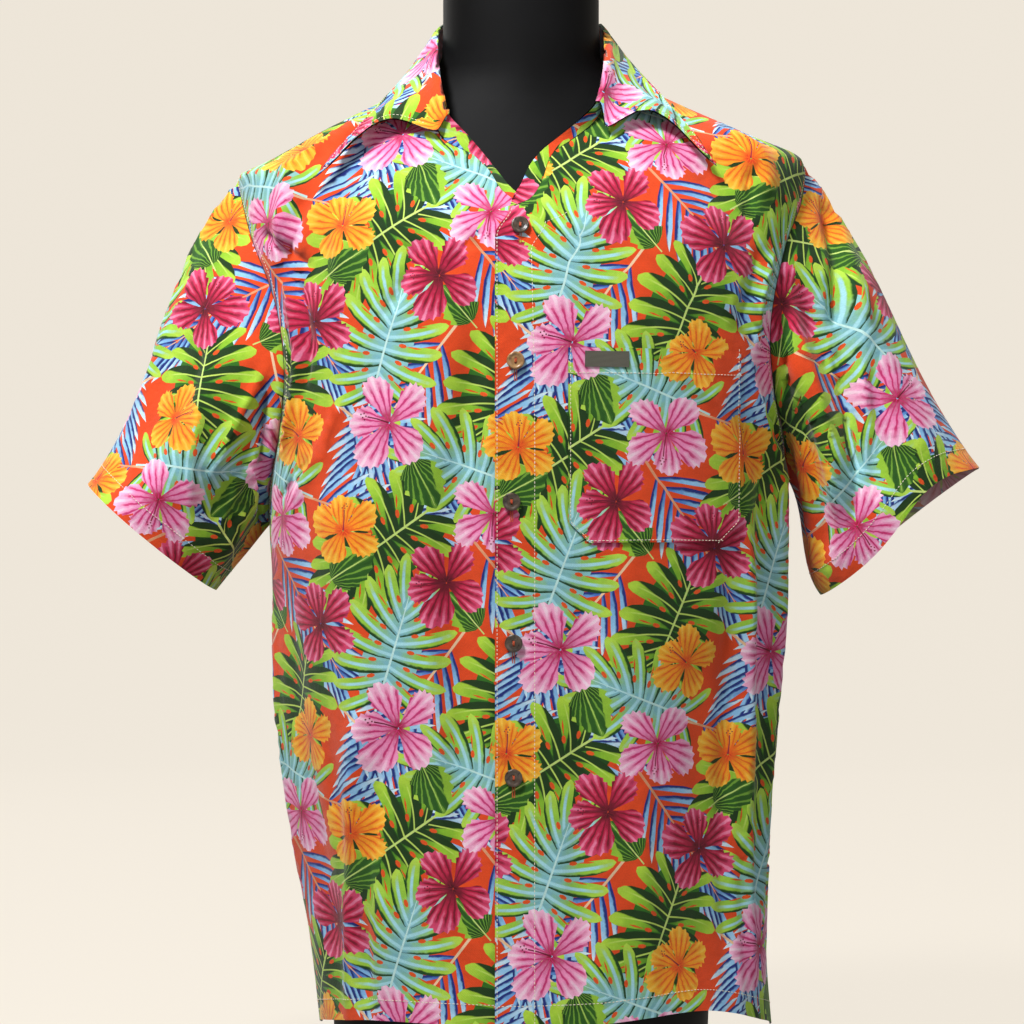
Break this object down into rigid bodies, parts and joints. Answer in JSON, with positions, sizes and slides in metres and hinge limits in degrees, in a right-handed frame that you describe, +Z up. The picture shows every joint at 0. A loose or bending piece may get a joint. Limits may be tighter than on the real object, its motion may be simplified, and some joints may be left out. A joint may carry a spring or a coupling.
{
  "type": "hawaiian shirt on a dress form",
  "caption": "Short-sleeved printed shirt with a turned-down collar, buttoned up and worn loosely by a smooth limbless dress form that stands on a flat foot.",
  "frame": {"origin": "middle of the dress form's flat foot, on the floor", "axes": "+Z up along the form; -Y the shirt's front; +X the wearer's left"},
  "size_m": [0.7128, 0.2796, 0.925],
  "materials": {
    "cloth": "plain-woven cotton with an all-over print of flowers and leaves on orange red",
    "tab": "plain woven tab, dull grey olive, left bare",
    "button": "polished dark brown resin with a paler rim",
    "button_light": "polished light tan resin",
    "form": "smooth matt black"
  },
  "bodies": {
    "root": {"dress_form": "form", "front_right": "cloth", "front_left": "cloth", "back": "cloth", "sleeve_right": "cloth", "sleeve_left": "cloth", "collar_stand": "cloth", "collar_leaf": "cloth", "pocket": "cloth", "pocket_tab": "tab", "button_1": "button", "button_2": "button_light", "button_3": "button", "button_4": "button", "button_5": "button"}
  },
  "joints": []
}
